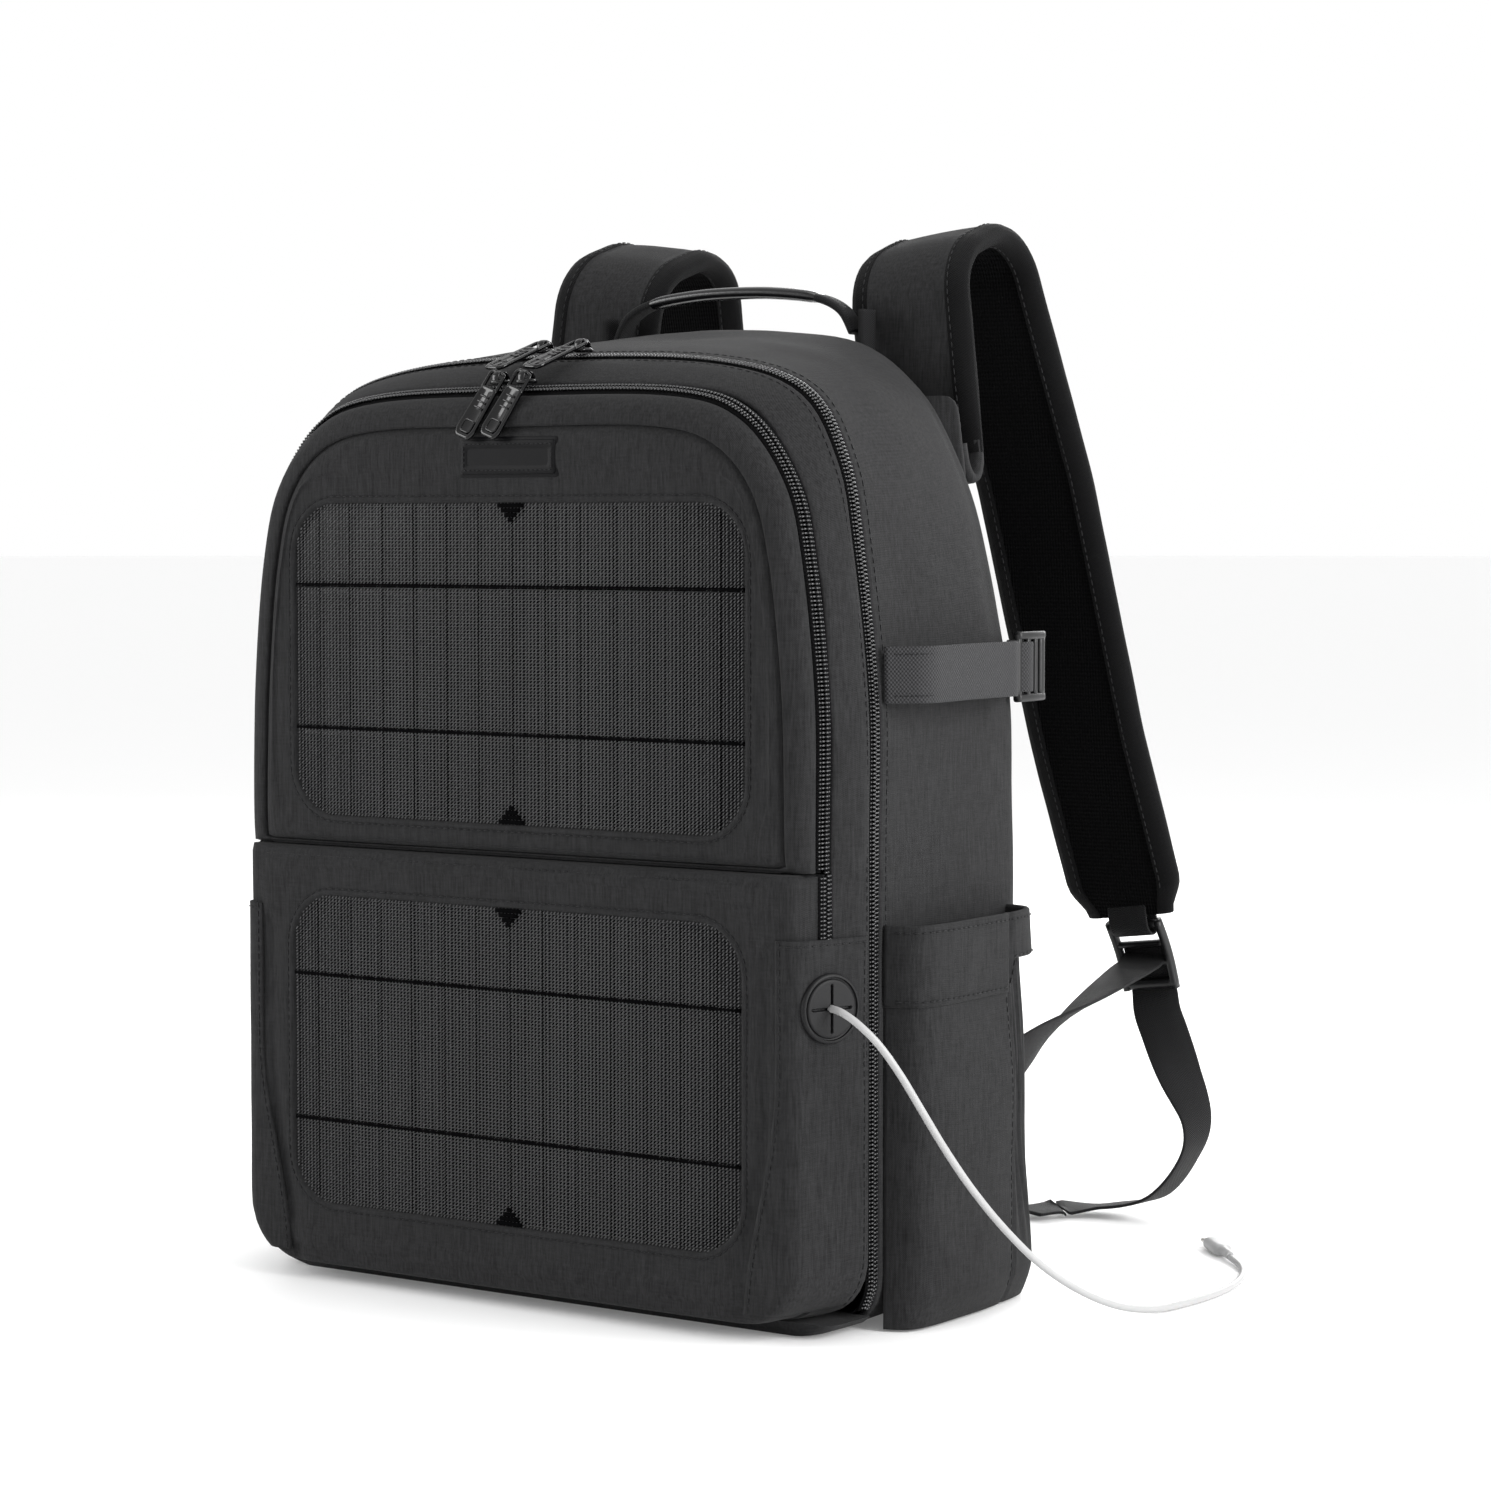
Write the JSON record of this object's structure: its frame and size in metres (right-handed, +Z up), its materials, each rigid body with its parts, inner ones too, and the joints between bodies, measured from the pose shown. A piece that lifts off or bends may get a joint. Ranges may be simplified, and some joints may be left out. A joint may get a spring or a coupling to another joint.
{
  "type": "solar backpack",
  "caption": "Clamshell backpack with solar windows, zipped front flap, side pockets, shoulder straps, grab handle and a charging lead.",
  "frame": {"origin": "centre of the base, on the surface the bag stands on", "axes": "+Z up, -Y towards the solar windows, +X to the side with the cable port"},
  "size_m": [0.4642, 0.4045, 0.5217],
  "materials": {
    "charcoal_fabric": "heathered plain weave polyester",
    "black_binding": "black grosgrain binding and tape",
    "air_mesh": "black spacer mesh over foam",
    "lining": "plain woven lining",
    "window_mesh": "open leno mesh",
    "solar_film": "dark laminated solar film",
    "grey_webbing": "ribbed grey webbing",
    "black_webbing": "ribbed black webbing",
    "zip_teeth": "black nylon coil and tape",
    "black_enamel": "gloss black enamel",
    "black_plastic": "satin black acetal",
    "handle_grip": "coated grip",
    "port_rubber": "matt rubber",
    "stiffener": "sheet stiffener",
    "white_cable": "smooth white jacket"
  },
  "bodies": {
    "main_body": {"main_shell": "charcoal_fabric", "base_sill": "charcoal_fabric", "base_board": "stiffener", "frame_sheet": "stiffener", "laptop_sleeve": "lining", "back_pad_right": "air_mesh", "back_pad_left": "air_mesh", "lumbar_pad": "air_mesh", "strap_yoke": "charcoal_fabric", "main_zip_shell_tape": "zip_teeth", "side_pocket_right": "charcoal_fabric", "side_pocket_left": "charcoal_fabric", "side_webbing_right": "grey_webbing", "side_webbing_left": "grey_webbing", "webbing_anchor_right": "charcoal_fabric", "webbing_anchor_left": "charcoal_fabric", "handle_anchor_right": "black_webbing", "handle_anchor_left": "black_webbing", "strap_webbing_right": "black_webbing", "strap_webbing_left": "black_webbing"},
    "front_door": {"door_band": "charcoal_fabric", "door_divider": "lining", "lower_panel": "charcoal_fabric", "lower_solar_cell": "solar_film", "lower_window_mesh": "window_mesh", "lower_window_binding": "black_binding", "main_zip_door_tape": "zip_teeth", "front_zip_door_tape": "zip_teeth", "corner_tab_right": "charcoal_fabric", "corner_tab_left": "charcoal_fabric", "cable_port": "port_rubber", "charge_controller": "black_plastic", "inner_lead": "white_cable", "charge_cable": "white_cable", "charge_plug": "white_cable"},
    "front_flap": {"flap_panel": "charcoal_fabric", "upper_solar_cell": "solar_film", "upper_window_mesh": "window_mesh", "upper_window_binding": "black_binding", "label_patch": "black_plastic", "front_zip_flap_tape": "zip_teeth"},
    "carry_handle": {"carry_handle": "handle_grip"},
    "main_slider_right": {"main_slider_right": "black_enamel"},
    "main_pull_right": {"main_pull_right": "black_enamel"},
    "main_slider_left": {"main_slider_left": "black_enamel"},
    "main_pull_left": {"main_pull_left": "black_enamel"},
    "front_slider_right": {"front_slider_right": "black_enamel"},
    "front_pull_right": {"front_pull_right": "black_enamel"},
    "front_slider_left": {"front_slider_left": "black_enamel"},
    "front_pull_left": {"front_pull_left": "black_enamel"},
    "side_buckle_right": {"side_buckle_right": "black_plastic"},
    "shoulder_strap_right": {"shoulder_strap_right": "charcoal_fabric"},
    "ladder_lock_right": {"ladder_lock_right": "black_plastic"},
    "strap_ring_right": {"strap_ring_right": "black_plastic"},
    "side_buckle_left": {"side_buckle_left": "black_plastic"},
    "shoulder_strap_left": {"shoulder_strap_left": "charcoal_fabric"},
    "ladder_lock_left": {"ladder_lock_left": "black_plastic"},
    "strap_ring_left": {"strap_ring_left": "black_plastic"}
  },
  "joints": [
    {"name": "front_door_hinge", "type": "hinge", "parent": "main_body", "child": "front_door", "pos_m": [0, -0.092, 0.012], "axis": [1, 0, 0], "range_deg": [0, 90]},
    {"name": "front_flap_hinge", "type": "hinge", "parent": "front_door", "child": "front_flap", "pos_m": [0, -0.1025, 0.2134], "axis": [1, 0, 0], "range_deg": [0, 100]},
    {"name": "carry_handle_hinge", "type": "hinge", "parent": "main_body", "child": "carry_handle", "pos_m": [0, 0.092, 0.471], "axis": [1, 0, 0], "range_deg": [0, 25]},
    {"name": "main_slider_right_slide", "type": "slide", "parent": "front_door", "child": "main_slider_right", "axis": [1, 0, 0], "range_m": [0, 0.06]},
    {"name": "main_pull_right_swing", "type": "hinge", "parent": "main_slider_right", "child": "main_pull_right", "pos_m": [0.01, -0.057, 0.4549], "axis": [-1, 0, 0], "range_deg": [0, 120]},
    {"name": "main_slider_left_slide", "type": "slide", "parent": "front_door", "child": "main_slider_left", "axis": [-1, 0, 0], "range_m": [0, 0.06]},
    {"name": "main_pull_left_swing", "type": "hinge", "parent": "main_slider_left", "child": "main_pull_left", "pos_m": [-0.012, -0.057, 0.4549], "axis": [-1, 0, 0], "range_deg": [0, 120]},
    {"name": "front_slider_right_slide", "type": "slide", "parent": "front_flap", "child": "front_slider_right", "axis": [1, 0, 0], "range_m": [0, 0.06]},
    {"name": "front_pull_right_swing", "type": "hinge", "parent": "front_slider_right", "child": "front_pull_right", "pos_m": [0.003, -0.092, 0.4391], "axis": [-1, 0, 0], "range_deg": [0, 120]},
    {"name": "front_slider_left_slide", "type": "slide", "parent": "front_flap", "child": "front_slider_left", "axis": [-1, 0, 0], "range_m": [0, 0.06]},
    {"name": "front_pull_left_swing", "type": "hinge", "parent": "front_slider_left", "child": "front_pull_left", "pos_m": [-0.012, -0.092, 0.4391], "axis": [-1, 0, 0], "range_deg": [0, 120]},
    {"name": "side_buckle_right_tilt", "type": "hinge", "parent": "main_body", "child": "side_buckle_right", "pos_m": [0.176, 0.069, 0.301], "axis": [0, 0, -1], "range_deg": [0, 30]},
    {"name": "shoulder_strap_right_swing", "type": "hinge", "parent": "main_body", "child": "shoulder_strap_right", "pos_m": [0.10104, 0.108, 0.4108], "axis": [0.9925, 0, 0.1219], "range_deg": [-12, 2], "deforming": ["strap_webbing_right"]},
    {"name": "ladder_lock_right_tilt", "type": "hinge", "parent": "shoulder_strap_right", "child": "ladder_lock_right", "pos_m": [0.13199, 0.277, 0.15869], "axis": [0.9925, 0, 0.1219], "range_deg": [-20, 20]},
    {"name": "strap_ring_right_swing", "type": "hinge", "parent": "shoulder_strap_right", "child": "strap_ring_right", "pos_m": [0.13419, 0.2502, 0.28853], "axis": [0.9925, 0, 0.1219], "range_deg": [0, 110]},
    {"name": "side_buckle_left_tilt", "type": "hinge", "parent": "main_body", "child": "side_buckle_left", "pos_m": [-0.176, 0.069, 0.301], "axis": [0, 0, 1], "range_deg": [0, 30]},
    {"name": "shoulder_strap_left_swing", "type": "hinge", "parent": "main_body", "child": "shoulder_strap_left", "pos_m": [-0.10104, 0.108, 0.4108], "axis": [0.9925, 0, -0.1219], "range_deg": [-12, 2], "deforming": ["strap_webbing_left"]},
    {"name": "ladder_lock_left_tilt", "type": "hinge", "parent": "shoulder_strap_left", "child": "ladder_lock_left", "pos_m": [-0.13199, 0.277, 0.15869], "axis": [0.9925, 0, -0.1219], "range_deg": [-20, 20]},
    {"name": "strap_ring_left_swing", "type": "hinge", "parent": "shoulder_strap_left", "child": "strap_ring_left", "pos_m": [-0.13419, 0.2502, 0.28853], "axis": [0.9925, 0, -0.1219], "range_deg": [0, 110]}
  ]
}
